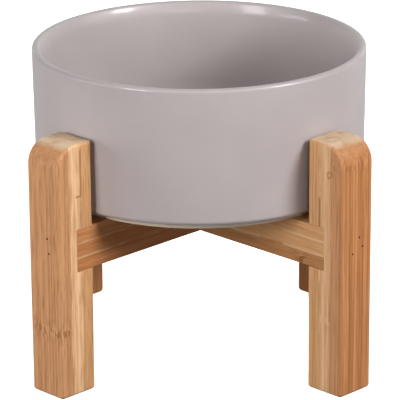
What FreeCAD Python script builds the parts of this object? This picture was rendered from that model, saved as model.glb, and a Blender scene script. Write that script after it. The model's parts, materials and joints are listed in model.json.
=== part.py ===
import FreeCAD, Part
import os
import Sketcher

# An elevated pet feeder: a straight-sided ceramic bowl on a slot-together bamboo stand.
# The stand is two flat frames. Each is a crossbar with its ends housed in two upright legs and held by
# brads. The frames cross at right angles in a halved lap under the bowl, and the legs rise past the
# crossbars to keep the bowl in its place.
# +Z is up. The origin is on the floor, under the point where the crossbars cross.
# Pieces of a frame are drawn along its own +X, with the legs' lower ends at height 0, and then turned
# about Z and raised onto the foot pads.

# Driving sizes in millimetres.
SIZES = {
    # Bowl
    "rim_diameter": 155.0,
    "bowl_height": 67.0,
    "rim_thickness": 4.7,
    "rim_rounding": 1.6,
    "lip_rounding": 2.7,
    "wall_draft": 0.9,
    "wall_base_thickness": 5.4,
    "floor_thickness": 5.4,
    "inner_rounding": 20.0,
    "heel_rounding": 2.4,
    "foot_setback": 7.2,
    "foot_ring_width": 5.0,
    "foot_ring_height": 3.4,
    "foot_ring_bevel": 0.4,
    # Legs
    "leg_width": 20.4,
    "leg_depth": 20.4,
    "leg_height": 119.4,
    "bowl_clearance": 1.3,
    "crown_rounding": 10.5,
    "leg_edge_rounding": 1.2,
    "leg_arris": 0.8,
    "toe_bevel": 0.7,
    # Crossbars
    "seat_height": 79.6,
    "bar_height": 20.4,
    "bar_arris": 0.8,
    "housing_depth": 9.6,
    "lap_clearance": 0.2,
    # Brads
    "brad_diameter": 1.2,
    "brad_length": 25.0,
    "brad_point": 2.0,
    "brad_sink": 0.4,
    "brad_clearance": 0.05,
    # Foot pads
    "pad_diameter": 12.0,
    "pad_thickness": 1.0,
    "pad_bevel": 0.3,
    # How far a cut runs past the stock
    "overrun": 2.0,
}

# Where the brads sit on a leg's outer face: a share of the leg's width to one side of its middle, and a
# share of the crossbar's height up from its underside.
TWO_BRAD_SHARES = ((0.11, 0.83), (0.16, 0.49))
THREE_BRAD_SHARES = ((0.08, 0.77), (0.18, 0.54), (-0.14, 0.43))
BRAD_TIP_SHARE = 0.25

# A rounding takes up at most this share of the wall that it is on.
ROUNDING_LIMIT_SHARE = 0.45

# The frames stand on the diagonals.
LOWER_TURN_DEG = 45
UPPER_TURN_DEG = -45
HALF_TURN_DEG = 180
FULL_TURN_DEG = 360
QUARTER_TURN_DEG = 90
FRAME_ENDS = 2

# How close an edge must lie to a place to be picked there.
PICK_TOLERANCE = 1e-4

# Sizes that follow from the driving ones, as expressions.
RIM_RADIUS = "(sizes.rim_diameter / 2)"
HEEL_RADIUS = f"({RIM_RADIUS} - sizes.wall_draft)"
MOUTH_RADIUS = f"({RIM_RADIUS} - sizes.rim_thickness)"
INNER_BASE_RADIUS = f"({HEEL_RADIUS} - sizes.wall_base_thickness)"
BOWL_FLOOR = "(sizes.foot_ring_height + sizes.floor_thickness)"
FOOT_RADIUS = f"({HEEL_RADIUS} - sizes.foot_setback)"
FOOT_INNER_RADIUS = f"({FOOT_RADIUS} - sizes.foot_ring_width)"
LEG_INNER = f"({RIM_RADIUS} + sizes.bowl_clearance)"
LEG_OUTER = f"({LEG_INNER} + sizes.leg_depth)"
LEG_MIDDLE = f"({LEG_INNER} + sizes.leg_depth / 2)"
HALF_WIDTH = "(sizes.leg_width / 2)"
HOUSING_END = f"({LEG_INNER} + sizes.housing_depth)"
BAR_BOTTOM = "(sizes.seat_height - sizes.bar_height)"
LAP_LEVEL = f"({BAR_BOTTOM} + sizes.bar_height / 2)"
LAP_HALF_WIDTH = f"({HALF_WIDTH} + sizes.lap_clearance)"
WALL_BEHIND_HOUSING = "(sizes.leg_depth - sizes.housing_depth)"
BRAD_HEAD = f"({LEG_OUTER} - sizes.brad_sink)"
BRAD_SHANK = "(sizes.brad_length - sizes.brad_point)"
BRAD_HOLE = "(sizes.brad_diameter + 2 * sizes.brad_clearance)"
BRAD_DEPTH_IN_BAR = f"(sizes.brad_length + sizes.brad_sink - {WALL_BEHIND_HOUSING} + sizes.brad_clearance)"

doc = FreeCAD.newDocument("elevated_pet_feeder")
sizes = doc.addObject("Spreadsheet::Sheet", "sizes")
for row, (alias, size) in enumerate(SIZES.items(), start=1):
    sizes.set(f"A{row}", alias.replace("_", " "))
    sizes.set(f"B{row}", str(size))
    sizes.setAlias(f"B{row}", alias)
doc.recompute()

pieces = []


def value(expression):
    """The length that an expression stands for now."""
    return float(sizes.evalExpression(expression))


def limited(rounding, wall):
    """A rounding that is held to its share of the wall it is on."""
    return f"min({rounding}; {wall} * {ROUNDING_LIMIT_SHARE})"


# Sketches


def origin_feature(body, role):
    return next(feature for feature in body.Origin.OriginFeatures if feature.Role == role)


def new_sketch(body, name, plane, offset=None):
    sketch = body.newObject("Sketcher::SketchObject", name)
    sketch.AttachmentSupport = (origin_feature(body, plane), [""])
    sketch.MapMode = "FlatFace"
    if offset:
        sketch.setExpression("AttachmentOffset.Base.z", offset)
    return sketch


def bind(sketch, constraint, name, expression):
    index = sketch.addConstraint(constraint)
    sketch.renameConstraint(index, name)
    sketch.setExpression(f"Constraints.{name}", expression)


def place_point(sketch, edge, end, across, up):
    """Dimension one point of a sketch from its origin, or put it on an axis where the distance is 0."""
    origin_edge, origin_end, up_axis = -1, 1, -2
    if across == "0":
        sketch.addConstraint(Sketcher.Constraint("PointOnObject", edge, end, up_axis))
    else:
        distance = Sketcher.Constraint("DistanceX", origin_edge, origin_end, edge, end, value(across))
        bind(sketch, distance, f"across_{edge}", across)
    if up == "0":
        sketch.addConstraint(Sketcher.Constraint("PointOnObject", edge, end, origin_edge))
    else:
        distance = Sketcher.Constraint("DistanceY", origin_edge, origin_end, edge, end, value(up))
        bind(sketch, distance, f"up_{edge}", up)


def outline(body, name, plane, corners, offset=None):
    """A closed outline of straight lines, with every corner dimensioned."""
    sketch = new_sketch(body, name, plane, offset)
    points = [FreeCAD.Vector(value(across), value(up), 0) for across, up in corners]
    for start, end in zip(points, points[1:] + points[:1]):
        sketch.addGeometry(Part.LineSegment(start, end), False)
    for edge in range(len(points)):
        after = (edge + 1) % len(points)
        sketch.addConstraint(Sketcher.Constraint("Coincident", edge, 2, after, 1))
    for edge, (across, up) in enumerate(corners):
        place_point(sketch, edge, 1, across, up)
    return sketch


def rectangle(body, name, plane, left, right, bottom, top, offset=None):
    corners = ((left, bottom), (right, bottom), (right, top), (left, top))
    return outline(body, name, plane, corners, offset)


def circles(body, name, plane, centres, diameter, offset=None):
    """Round holes or discs of one diameter, with every centre dimensioned."""
    sketch = new_sketch(body, name, plane, offset)
    normal = FreeCAD.Vector(0, 0, 1)
    for edge, (across, up) in enumerate(centres):
        centre = FreeCAD.Vector(value(across), value(up), 0)
        sketch.addGeometry(Part.Circle(centre, normal, value(diameter) / 2), False)
        bind(sketch, Sketcher.Constraint("Diameter", edge, value(diameter)), f"diameter_{edge}", diameter)
        place_point(sketch, edge, 3, across, up)
    return sketch


# Features


def new_body(name):
    body = doc.addObject("PartDesign::Body", name)
    body.Label = name
    pieces.append(body)
    return body


def pad(body, name, sketch, length, symmetric=False, downwards=False):
    feature = body.newObject("PartDesign::Pad", name)
    feature.Profile = sketch
    feature.SideType = "Symmetric" if symmetric else "One side"
    feature.Reversed = downwards
    feature.setExpression("Length", length)
    doc.recompute()
    return feature


def pocket(body, name, sketch, length, symmetric=False):
    uncut = body.Shape.Volume
    feature = body.newObject("PartDesign::Pocket", name)
    feature.Profile = sketch
    feature.SideType = "Symmetric" if symmetric else "One side"
    feature.setExpression("Length", length)
    doc.recompute()
    if not body.Shape.Volume < uncut:
        raise RuntimeError(f"{name} of {body.Label} cuts nothing")
    return feature


def repeat_at_both_ends(body, name, feature):
    """The same feature on the frame's other end, half a turn about the upright axis."""
    pattern = body.newObject("PartDesign::PolarPattern", name)
    pattern.Originals = [feature]
    pattern.Axis = (origin_feature(body, "Z_Axis"), [""])
    pattern.Angle = FULL_TURN_DEG
    pattern.Occurrences = FRAME_ENDS
    body.Tip = pattern
    doc.recompute()


def picked_edges(body, test):
    return [f"Edge{number}" for number, edge in enumerate(body.Shape.Edges, start=1) if test(edge)]


def round_edges(body, name, radius, test):
    base = body.Tip
    edges = picked_edges(body, test)
    feature = body.newObject("PartDesign::Fillet", name)
    feature.Base = (base, edges)
    feature.setExpression("Radius", radius)
    doc.recompute()


def bevel_edges(body, name, size, test):
    base = body.Tip
    edges = picked_edges(body, test)
    feature = body.newObject("PartDesign::Chamfer", name)
    feature.Base = (base, edges)
    feature.setExpression("Size", size)
    doc.recompute()


def near(length, expression):
    return abs(length - value(expression)) < PICK_TOLERANCE


def at_x(edge, place):
    return near(edge.BoundBox.XMin, place) and near(edge.BoundBox.XMax, place)


def at_y(edge, place):
    return near(edge.BoundBox.YMin, place) and near(edge.BoundBox.YMax, place)


def at_z(edge, place):
    return near(edge.BoundBox.ZMin, place) and near(edge.BoundBox.ZMax, place)


def on_a_side(edge):
    """True for an edge that lies on one of the two flat sides of a leg or crossbar."""
    return at_y(edge, HALF_WIDTH) or at_y(edge, f"-{HALF_WIDTH}")


def is_ring(edge, radius, height):
    return hasattr(edge.Curve, "Radius") and near(edge.Curve.Radius, radius) and at_z(edge, height)


# Bowl


def make_bowl():
    """Ceramic, made round: the profile is turned about the upright axis and its edges are eased."""
    body = new_body("bowl")
    profile = outline(body, "bowl_profile", "XZ_Plane", (
        ("0", "sizes.foot_ring_height"),
        (FOOT_INNER_RADIUS, "sizes.foot_ring_height"),
        (FOOT_INNER_RADIUS, "0"),
        (FOOT_RADIUS, "0"),
        (FOOT_RADIUS, "sizes.foot_ring_height"),
        (HEEL_RADIUS, "sizes.foot_ring_height"),
        (RIM_RADIUS, "sizes.bowl_height"),
        (MOUTH_RADIUS, "sizes.bowl_height"),
        (INNER_BASE_RADIUS, BOWL_FLOOR),
        ("0", BOWL_FLOOR),
    ))
    turned = body.newObject("PartDesign::Revolution", "bowl_turned")
    turned.Profile = profile
    turned.ReferenceAxis = (profile, ["V_Axis"])
    turned.Angle = FULL_TURN_DEG
    doc.recompute()

    def is_inner_corner(edge):
        return is_ring(edge, INNER_BASE_RADIUS, BOWL_FLOOR)

    def is_heel(edge):
        return is_ring(edge, HEEL_RADIUS, "sizes.foot_ring_height")

    def is_rim(edge):
        return is_ring(edge, RIM_RADIUS, "sizes.bowl_height")

    def is_lip(edge):
        return is_ring(edge, MOUTH_RADIUS, "sizes.bowl_height")

    def is_foot_edge(edge):
        return any(is_ring(edge, radius, "0") for radius in (FOOT_RADIUS, FOOT_INNER_RADIUS))

    rim = limited("sizes.rim_rounding", "sizes.rim_thickness")
    lip = limited("sizes.lip_rounding", f"(sizes.rim_thickness - {rim}) * 2")
    round_edges(body, "inner_corner", "sizes.inner_rounding", is_inner_corner)
    round_edges(body, "heel", limited("sizes.heel_rounding", "sizes.foot_setback * 2"), is_heel)
    round_edges(body, "rim", rim, is_rim)
    round_edges(body, "lip", lip, is_lip)
    bevel_edges(body, "foot", limited("sizes.foot_ring_bevel", "sizes.foot_ring_height"), is_foot_edge)
    body.setExpression("Placement.Base.z", "sizes.pad_thickness + sizes.seat_height")


# Stand


def stand_up(piece, turn):
    """Turn a piece of a frame about the upright axis and raise it onto the foot pads."""
    turned = FreeCAD.Rotation(FreeCAD.Vector(0, 0, 1), turn)
    piece.Placement = FreeCAD.Placement(FreeCAD.Vector(0, 0, 0), turned)
    piece.setExpression("Placement.Base.z", "sizes.pad_thickness")


def brad_places(shares):
    """Brad centres on the end of a crossbar: sideways from its middle, and up from the legs' lower ends."""
    return [
        (f"sizes.leg_width * {sideways}", f"{BAR_BOTTOM} + sizes.bar_height * {upwards}")
        for sideways, upwards in shares
    ]


def make_leg(name, turn, brad_shares):
    """An upright: a squared blank, housed for the crossbar, with a rounded crown and eased edges."""
    body = new_body(name)
    blank = rectangle(body, f"{name}_side", "XZ_Plane", LEG_INNER, LEG_OUTER, "0", "sizes.leg_height")
    pad(body, f"{name}_blank", blank, "sizes.leg_width", symmetric=True)

    def is_crown(edge):
        return at_x(edge, LEG_OUTER) and at_z(edge, "sizes.leg_height")

    def is_outer_corner(edge):
        return at_x(edge, LEG_OUTER) and on_a_side(edge)

    def is_inner_arris(edge):
        return at_x(edge, LEG_INNER) and not at_z(edge, "0")

    def is_toe(edge):
        return at_z(edge, "0")

    crown = limited("sizes.crown_rounding", "sizes.leg_depth * 2")
    corner = limited("sizes.leg_edge_rounding", "sizes.leg_width")
    arris = limited("sizes.leg_arris", "sizes.leg_width")
    round_edges(body, f"{name}_crown", crown, is_crown)
    round_edges(body, f"{name}_outer_corners", corner, is_outer_corner)
    round_edges(body, f"{name}_inner_arrises", arris, is_inner_arris)
    bevel_edges(body, f"{name}_toe", limited("sizes.toe_bevel", f"({arris}) * 2"), is_toe)

    housing = rectangle(body, f"{name}_housing_side", "XZ_Plane",
                        f"{LEG_INNER} - sizes.overrun", HOUSING_END, BAR_BOTTOM, "sizes.seat_height")
    pocket(body, f"{name}_housing", housing, "sizes.leg_width + 2 * sizes.overrun", symmetric=True)
    holes = circles(body, f"{name}_brad_marks", "YZ_Plane", brad_places(brad_shares), BRAD_HOLE,
                    offset=LEG_OUTER)
    pocket(body, f"{name}_brad_holes", holes, f"{WALL_BEHIND_HOUSING} + sizes.overrun")
    stand_up(body, turn)


def make_crossbar(name, turn, slot_bottom, slot_top, brad_shares):
    """A rail: eased between the legs, square where its ends are housed, and halved at its middle."""
    body = new_body(name)
    section = ("YZ_Plane", f"-{HALF_WIDTH}", HALF_WIDTH, BAR_BOTTOM, "sizes.seat_height")
    rail = rectangle(body, f"{name}_section", *section)
    pad(body, f"{name}_rail", rail, f"2 * {LEG_INNER}", symmetric=True)

    def is_long_edge(edge):
        return on_a_side(edge) and (at_z(edge, BAR_BOTTOM) or at_z(edge, "sizes.seat_height"))

    round_edges(body, f"{name}_arrises", limited("sizes.bar_arris", "sizes.bar_height"), is_long_edge)
    end_section = rectangle(body, f"{name}_end_section", *section, offset=LEG_INNER)
    housed_end = pad(body, f"{name}_end", end_section, "sizes.housing_depth")
    repeat_at_both_ends(body, f"{name}_ends", housed_end)

    slot = rectangle(body, f"{name}_lap_side", "XZ_Plane",
                     f"-{LAP_HALF_WIDTH}", LAP_HALF_WIDTH, slot_bottom, slot_top)
    pocket(body, f"{name}_lap", slot, "sizes.leg_width + 2 * sizes.overrun", symmetric=True)
    holes = circles(body, f"{name}_brad_marks", "YZ_Plane", brad_places(brad_shares), BRAD_HOLE,
                    offset=HOUSING_END)
    drilled = pocket(body, f"{name}_brad_holes", holes, BRAD_DEPTH_IN_BAR)
    repeat_at_both_ends(body, f"{name}_all_brad_holes", drilled)
    stand_up(body, turn)


def make_brads(name, turn, brad_shares):
    """Headless wire nails, driven from the leg's outer face and set a little below it."""
    brads = []
    inwards = FreeCAD.Rotation(FreeCAD.Vector(0, 1, 0), -QUARTER_TURN_DEG)
    for number, (across, up) in enumerate(brad_places(brad_shares), start=1):
        shank = doc.addObject("Part::Cylinder", f"{name}_shank_{number}")
        shank.setExpression("Radius", "sizes.brad_diameter / 2")
        shank.setExpression("Height", BRAD_SHANK)
        point = doc.addObject("Part::Cone", f"{name}_point_{number}")
        point.setExpression("Radius1", "sizes.brad_diameter / 2")
        point.setExpression("Radius2", f"sizes.brad_diameter / 2 * {BRAD_TIP_SHARE}")
        point.setExpression("Height", "sizes.brad_point")
        for solid, start in ((shank, BRAD_HEAD), (point, f"{BRAD_HEAD} - {BRAD_SHANK}")):
            solid.Placement = FreeCAD.Placement(FreeCAD.Vector(0, 0, 0), inwards)
            solid.setExpression("Placement.Base.x", start)
            solid.setExpression("Placement.Base.y", across)
            solid.setExpression("Placement.Base.z", up)
        brad = doc.addObject("Part::Fuse", f"{name}_brad_{number}")
        brad.Base = shank
        brad.Tool = point
        brads.append(brad)
    group = doc.addObject("Part::Compound", name)
    group.Label = name
    group.Links = brads
    stand_up(group, turn)
    pieces.append(group)


def make_foot_pad(name, turn):
    """A soft disc stuck under a leg, so that the stand doesn't slide or mark the floor."""
    body = new_body(name)
    disc = circles(body, f"{name}_outline", "XY_Plane", ((LEG_MIDDLE, "0"),), "sizes.pad_diameter")
    pad(body, f"{name}_disc", disc, "sizes.pad_thickness", downwards=True)

    def is_lower_edge(edge):
        return at_z(edge, "-sizes.pad_thickness")

    bevel_edges(body, f"{name}_edge", limited("sizes.pad_bevel", "sizes.pad_thickness"), is_lower_edge)
    stand_up(body, turn)


def make_frame(crossbar, turn, slot_bottom, slot_top, brad_shares, ends):
    """One flat frame of the stand: a crossbar and, at each end, a leg with its brads and foot pad."""
    make_crossbar(crossbar, turn, slot_bottom, slot_top, brad_shares)
    for number, end in enumerate(ends):
        end_turn = turn + number * HALF_TURN_DEG
        make_leg(f"leg_{end}", end_turn, brad_shares)
        make_brads(f"brads_{end}", end_turn, brad_shares)
        make_foot_pad(f"pad_{end}", end_turn)


# Pieces


make_bowl()
make_frame("lower_crossbar", LOWER_TURN_DEG, LAP_LEVEL, "sizes.seat_height + sizes.overrun",
           TWO_BRAD_SHARES, ("back_right", "front_left"))
make_frame("upper_crossbar", UPPER_TURN_DEG, f"{BAR_BOTTOM} - sizes.overrun", LAP_LEVEL,
           THREE_BRAD_SHARES, ("front_right", "back_left"))
doc.recompute()

for item in doc.Objects:
    if {"Invalid", "Error"} & set(item.State):
        raise RuntimeError(f"{item.Label} failed: {item.State}")
for piece in pieces:
    if piece.Shape.isNull() or not piece.Shape.isValid():
        raise RuntimeError(f"{piece.Label} has no sound shape")

os.makedirs("parts", exist_ok=True)
for piece in pieces:
    piece.Shape.exportStep(f"parts/{piece.Label}.step")
    box = piece.Shape.optimalBoundingBox()
    print(f"{piece.Label}: {len(piece.Shape.Solids)} solid(s), {piece.Shape.Volume:.0f} mm3, "
          f"z {box.ZMin:.1f} to {box.ZMax:.1f}")
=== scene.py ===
# %% [markdown]
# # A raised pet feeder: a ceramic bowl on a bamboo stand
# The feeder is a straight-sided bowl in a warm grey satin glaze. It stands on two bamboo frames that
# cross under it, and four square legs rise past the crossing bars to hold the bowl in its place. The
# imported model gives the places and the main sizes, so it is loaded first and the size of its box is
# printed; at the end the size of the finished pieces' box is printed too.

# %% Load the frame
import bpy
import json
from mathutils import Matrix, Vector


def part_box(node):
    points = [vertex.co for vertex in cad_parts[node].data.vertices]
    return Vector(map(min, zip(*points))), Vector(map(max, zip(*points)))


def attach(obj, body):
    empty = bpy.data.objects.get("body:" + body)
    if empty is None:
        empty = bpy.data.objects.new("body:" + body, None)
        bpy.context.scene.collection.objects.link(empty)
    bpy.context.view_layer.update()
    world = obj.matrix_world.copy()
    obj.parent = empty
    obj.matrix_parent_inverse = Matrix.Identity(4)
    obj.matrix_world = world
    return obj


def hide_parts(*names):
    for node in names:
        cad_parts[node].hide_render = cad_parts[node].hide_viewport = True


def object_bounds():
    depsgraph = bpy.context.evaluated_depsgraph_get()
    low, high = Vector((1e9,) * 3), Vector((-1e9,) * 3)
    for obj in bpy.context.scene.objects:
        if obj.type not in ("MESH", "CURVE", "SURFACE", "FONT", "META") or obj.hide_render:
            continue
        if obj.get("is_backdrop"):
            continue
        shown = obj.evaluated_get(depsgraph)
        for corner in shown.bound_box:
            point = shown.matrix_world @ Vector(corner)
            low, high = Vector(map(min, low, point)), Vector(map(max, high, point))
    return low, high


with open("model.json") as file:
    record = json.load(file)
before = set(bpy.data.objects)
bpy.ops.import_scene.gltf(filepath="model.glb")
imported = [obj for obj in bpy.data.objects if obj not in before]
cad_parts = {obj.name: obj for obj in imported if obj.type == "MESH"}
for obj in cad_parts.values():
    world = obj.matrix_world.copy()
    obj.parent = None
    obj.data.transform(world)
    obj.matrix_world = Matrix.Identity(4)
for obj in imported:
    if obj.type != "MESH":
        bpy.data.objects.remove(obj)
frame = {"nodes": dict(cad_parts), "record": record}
cad_low, cad_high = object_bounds()

import inspect
import json
import math
from types import SimpleNamespace

import bpy
import numpy as np
from mathutils import Matrix

MM = 0.001
print("frame:", len(frame["nodes"]), "nodes,", [round(side / MM, 1) for side in cad_high - cad_low], "mm")

# %% [markdown]
# ## Measure the frame
# A leg stands on a diagonal, so its own box would say little about it. Its points are turned until the
# leg lies along +X: then X is the way out from the middle, Y is across the leg and Z is up, and the
# lowest and highest values are the real faces of the wood. The same is done for a crossbar.

# %% Measure the legs, a crossbar and the bowl
ENDS = ("front_left", "front_right", "back_left", "back_right")


def node_points(node):
    """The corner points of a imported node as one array, in metres."""
    mesh = frame["nodes"][node].data
    points = np.empty(3 * len(mesh.vertices), np.float32)
    mesh.vertices.foreach_get("co", points)
    return points.reshape(-1, 3).astype(float)


def turned_about_z(points, angle):
    """Points turned about the upright axis: x' = x cos a - y sin a, y' = x sin a + y cos a."""
    cosine, sine = math.cos(angle), math.sin(angle)
    return points @ np.array([[cosine, sine, 0], [-sine, cosine, 0], [0, 0, 1]])


def leg_angle(end):
    """The direction of a leg from the middle, from the centre of the pad under it."""
    low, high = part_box(f"pad_{end}")
    return math.atan2(low.y + high.y, low.x + high.x)


LEG_ANGLES = {end: leg_angle(end) for end in ENDS}
BAR_ANGLES = {"lower_crossbar": LEG_ANGLES["back_right"], "upper_crossbar": LEG_ANGLES["front_right"]}

packed_leg = turned_about_z(node_points("leg_front_left"), -LEG_ANGLES["front_left"])
(LEG_INNER, _, LEG_BOTTOM), (LEG_OUTER, HALF_WIDTH, LEG_TOP) = packed_leg.min(0), packed_leg.max(0)
packed_bar = turned_about_z(node_points("lower_crossbar"), -BAR_ANGLES["lower_crossbar"])
BAR_BOTTOM, (BAR_END, _, SEAT) = packed_bar[:, 2].min(), packed_bar.max(0)
bowl_low, bowl_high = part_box("bowl")
RIM_RADIUS, BOWL_BASE, BOWL_TOP = bowl_high.x, bowl_low.z, bowl_high.z
print("legs at", [round(math.degrees(angle)) for angle in LEG_ANGLES.values()], "degrees,",
      "section", round((LEG_OUTER - LEG_INNER) / MM, 2), "by", round(2 * HALF_WIDTH / MM, 2), "mm")

# %% [markdown]
# ## From arrays to pieces
# Every piece below is a set of points worked out as whole arrays, with faces that join them. One function
# puts them into a mesh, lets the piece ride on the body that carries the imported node, and hides that
# node. Values that a finish needs later, such as the place in the grain of the wood, go in as named
# attributes.

# %% A piece from points and faces
BODY_OF = {node: body for body, nodes in frame["record"]["behaviour"]["bodies"].items() for node in nodes}
CREASE_ANGLE = math.radians(35)


def add_piece(node, points, face_blocks, **attributes):
    """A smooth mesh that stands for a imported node, with a crease wherever faces meet at a sharp angle.

    A block of faces is an array with a row for each face: the numbers of its corner points.
    """
    mesh = bpy.data.meshes.new(f"{node}_finished")
    mesh.from_pydata(points.tolist(), [], [face for block in face_blocks for face in block.tolist()])
    for label, values in attributes.items():
        is_vector = values.ndim == 2
        layer = mesh.attributes.new(label, "FLOAT_VECTOR" if is_vector else "FLOAT", "POINT")
        layer.data.foreach_set("vector" if is_vector else "value", values.astype(np.float32).ravel())
    mesh.shade_smooth()
    mesh.set_sharp_from_angle(angle=CREASE_ANGLE)
    piece = bpy.data.objects.new(mesh.name, mesh)
    bpy.context.scene.collection.objects.link(piece)
    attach(piece, BODY_OF[node])
    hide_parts(node)
    print(piece.name, "has", len(mesh.polygons), "faces and rides on", BODY_OF[node])
    return piece


# %% [markdown]
# ## Outlines with round corners
# A bowl's section, a leg's side and a pad's edge are all the same kind of drawing: straight runs with
# rounded corners. Each is given by its few corner points and a radius for each corner, and the arcs are
# worked out from those, which is how it is done on a drawing board and keeps every radius a plain number.

# %% Round the corners of an outline
ARC_STEPS = 13
SAME_PLACE = 1e-7
SIGN_DIGITS = 9


def unit(vectors):
    """Vectors scaled to length 1, with a vector of no length left as it is."""
    lengths = np.linalg.norm(vectors, axis=-1, keepdims=True)
    return vectors / np.where(lengths == 0, 1, lengths)


def rounded(corners, radii):
    """A closed outline with an arc at each corner, as ARC_STEPS points for each corner.

    With an angle 2h between the two runs at a corner, the arc's centre lies r / sin(h) from the corner
    along the line that halves the angle. From there, the arc's points lie at r times (-cos(s) along that
    line plus sin(s) across it), with s from h - 90 degrees to 90 degrees - h.
    """
    back = unit(np.roll(corners, 1, axis=0) - corners)
    ahead = unit(np.roll(corners, -1, axis=0) - corners)
    half = np.arccos(np.clip((back * ahead).sum(1), -1, 1)) / 2
    across = unit(ahead - back)
    inwards = across[:, ::-1] * (-1, 1)
    inwards = inwards * np.sign((inwards * (back + ahead)).sum(1).round(SIGN_DIGITS))[:, None]
    sweep = np.linspace(-1, 1, ARC_STEPS) * (math.pi / 2 - half)[:, None]
    centres = corners + inwards * (radii / np.sin(half))[:, None]
    arcs = np.sin(sweep)[..., None] * across[:, None] - np.cos(sweep)[..., None] * inwards[:, None]
    return (centres[:, None] + radii[:, None, None] * arcs).reshape(-1, 2)


def apart_from_next(points):
    """True for each point of a closed outline that isn't in the same place as the next one."""
    return np.linalg.norm(np.roll(points, -1, axis=0) - points, axis=1) > SAME_PLACE


# %% [markdown]
# ## Turned shapes
# The bowl, the foot pads and the nails are round. A surface of revolution fits them all: a profile is a
# curve of radius and height, and the second parameter is the angle round the axis. Where the profile
# meets the axis, one point closes the surface, so there is no hole and no pinched ring at the pole.

# %% Turn a profile about an axis


def turn_profile(profile, segments):
    """Points and faces of a profile (radius, height) turned about its axis.

    A point at angle a is (radius cos a, radius sin a, height). The profile starts and ends on the axis.
    """
    angles = np.linspace(0, 2 * math.pi, segments, endpoint=False)
    radius, height = profile[1:-1, :1], profile[1:-1, 1:]
    rings = np.stack(np.broadcast_arrays(radius * np.cos(angles), radius * np.sin(angles), height), axis=-1)
    poles = np.array([[0, 0, profile[0, 1]], [0, 0, profile[-1, 1]]])
    points = np.concatenate([rings.reshape(-1, 3), poles])

    here = np.arange(rings.shape[0] * segments).reshape(-1, segments)
    beside = np.roll(here, -1, axis=1)
    quads = np.stack([here[:-1], beside[:-1], beside[1:], here[1:]], axis=-1).reshape(-1, 4)
    first_pole, last_pole = len(points) - 2, len(points) - 1
    first_fan = np.stack([np.full(segments, first_pole), beside[0], here[0]], axis=-1)
    last_fan = np.stack([np.full(segments, last_pole), here[-1], beside[-1]], axis=-1)
    return points, [quads, first_fan, last_fan]


def rounded_profile(corners, radii):
    """A profile for turning: its corners rounded, and one point left where it meets the axis."""
    profile = rounded(np.array(corners), np.array(radii))
    return profile[apart_from_next(profile)]


# %% [markdown]
# ## The bowl
# The bowl is cast or turned on a wheel: nearly upright walls, a soft rim that flares a little inside, a
# big round corner that is easy to lick clean and a low foot ring without glaze. A few corner points say
# all of that. A Screw modifier could make the same shape, but the array form also gives each point its
# share of the rim, which the glaze needs.

# %% Turn the bowl
RIM_THICKNESS, RIM_ROUNDING, LIP_ROUNDING = 4.7 * MM, 1.6 * MM, 1.8 * MM
FLARE_WIDTH, FLARE_DEPTH, FLARE_ROUNDING = 1.5 * MM, 4 * MM, 15 * MM
WALL_DRAFT, WALL_BASE_THICKNESS, FLOOR_THICKNESS = 0.9 * MM, 5.4 * MM, 5.4 * MM
INNER_ROUNDING, HEEL_ROUNDING = 20 * MM, 2.4 * MM
FOOT_SETBACK, FOOT_WIDTH, FOOT_HEIGHT, FOOT_EDGE = 7.2 * MM, 5 * MM, 3.4 * MM, 0.4 * MM
BOWL_SEGMENTS = 256

heel_radius = RIM_RADIUS - WALL_DRAFT
foot_outer = heel_radius - FOOT_SETBACK
foot_inner = foot_outer - FOOT_WIDTH
heel = BOWL_BASE + FOOT_HEIGHT
bowl_floor = heel + FLOOR_THICKNESS
inner_base, inner_rim = heel_radius - WALL_BASE_THICKNESS, RIM_RADIUS - RIM_THICKNESS
flare_start = inner_rim - (inner_rim - inner_base) * FLARE_DEPTH / (BOWL_TOP - bowl_floor)
bowl_profile = rounded_profile(
    [(0, heel), (foot_inner, heel), (foot_inner, BOWL_BASE), (foot_outer, BOWL_BASE), (foot_outer, heel),
     (heel_radius, heel), (RIM_RADIUS, BOWL_TOP), (inner_rim + FLARE_WIDTH, BOWL_TOP),
     (flare_start, BOWL_TOP - FLARE_DEPTH), (inner_base, bowl_floor), (0, bowl_floor)],
    [0, FOOT_EDGE, FOOT_EDGE, FOOT_EDGE, FOOT_EDGE,
     HEEL_ROUNDING, RIM_ROUNDING, LIP_ROUNDING, FLARE_ROUNDING, INNER_ROUNDING, 0])
bowl_points, bowl_faces = turn_profile(bowl_profile, BOWL_SEGMENTS)
bowl_rim = np.clip((bowl_points[:, 2] - BOWL_TOP) / FLARE_DEPTH + 1, 0, 1)
bowl = add_piece("bowl", bowl_points, bowl_faces, eased=bowl_rim)

# %% [markdown]
# ## Boards
# Legs and crossbars are sawn boards with eased edges. Seen from the side, each is an outline, and the
# board is that outline carried across its width. Near each side face the outline draws in and the width
# grows along a quarter circle, which makes the round edge. A Bevel modifier would also round them, but
# here each edge can have its own radius, as a leg needs: soft outside, crisp where the crossbar is let
# in.

# %% Carry an outline across a board's width
EDGE_STEPS = 6
LEAST_RADIUS = 0.03 * MM


def inset_corners(corners, easing):
    """Corners of an outline drawn in by a different distance on each run.

    The shift s of a corner solves n1 . s = d1 and n2 . s = d2, for the inward normals n and the distances d
    of the runs before and after it. On a straight run it is the distance before it, along the normal.
    """
    ahead = unit(np.roll(corners, -1, axis=0) - corners)
    normal = ahead[:, ::-1] * (-1, 1)
    before, easing_before = np.roll(normal, 1, axis=0), np.roll(easing, 1)
    cross = before[:, 0] * normal[:, 1] - before[:, 1] * normal[:, 0]
    straight = np.abs(cross) < SAME_PLACE
    cross = np.where(straight, 1, cross)
    shift = np.stack([easing_before * normal[:, 1] - easing * before[:, 1],
                      easing * before[:, 0] - easing_before * normal[:, 0]], axis=-1) / cross[:, None]
    shift = np.where(straight[:, None], normal * easing_before[:, None], shift)
    return corners + shift, np.where(straight, easing_before, np.maximum(easing, easing_before))


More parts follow.
